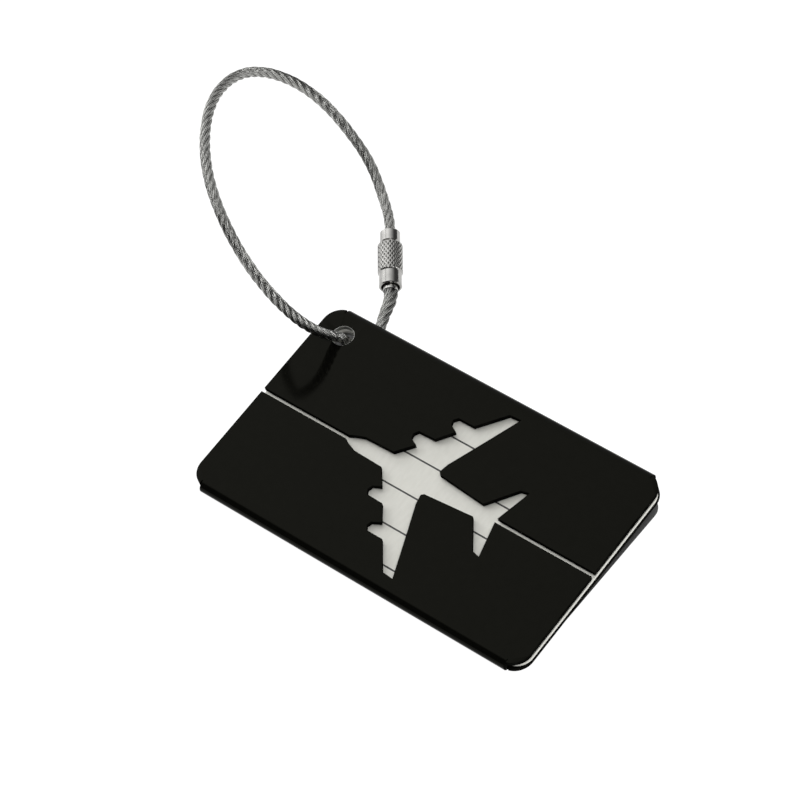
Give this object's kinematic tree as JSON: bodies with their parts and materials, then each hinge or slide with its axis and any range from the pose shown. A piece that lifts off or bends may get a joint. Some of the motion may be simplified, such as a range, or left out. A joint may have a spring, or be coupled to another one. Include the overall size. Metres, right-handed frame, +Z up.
{
  "type": "luggage tag",
  "caption": "Folded aluminium luggage tag with an aircraft-shaped window over a name card and a steel wire rope loop closed by a knurled screw lock",
  "frame": {"origin": "Middle of the tag's footprint on the table, at the height of the sleeve's lowest edge", "axes": "+X along the tag away from the rope hole, +Y across the tag towards the long side nearest the hole, +Z up from the table"},
  "size_m": [0.1159, 0.0808, 0.0418],
  "materials": {
    "black_anodised": "gloss black anodised",
    "white_card": "matt",
    "steel_rope": "stranded",
    "stud_steel": "turned, bright",
    "collar_steel": "turned",
    "barrel_steel": "knurled, bright"
  },
  "bodies": {
    "sleeve": {"sleeve": "black_anodised"},
    "card": {"name_card": "white_card"},
    "loop": {"rope": "steel_rope", "stud": "stud_steel", "collar": "collar_steel"},
    "barrel": {"lock_barrel": "barrel_steel"}
  },
  "joints": [
    {"name": "card_slide", "type": "slide", "parent": "sleeve", "child": "card", "axis": [1, 0, 0], "range_m": [-0.0009, 0.0009]},
    {"name": "loop_swing", "type": "hinge", "parent": "sleeve", "child": "loop", "pos_m": [-0.034, 0.01793, 0.00514], "axis": [0, -0.0872, 0.9962], "range_deg": [-80, 130]},
    {"name": "barrel_turn", "type": "hinge", "parent": "loop", "child": "barrel", "pos_m": [-0.0362, 0.0347, 0.0026], "axis": [-0.6139, 0.7819, 0.108], "continuous": true}
  ]
}
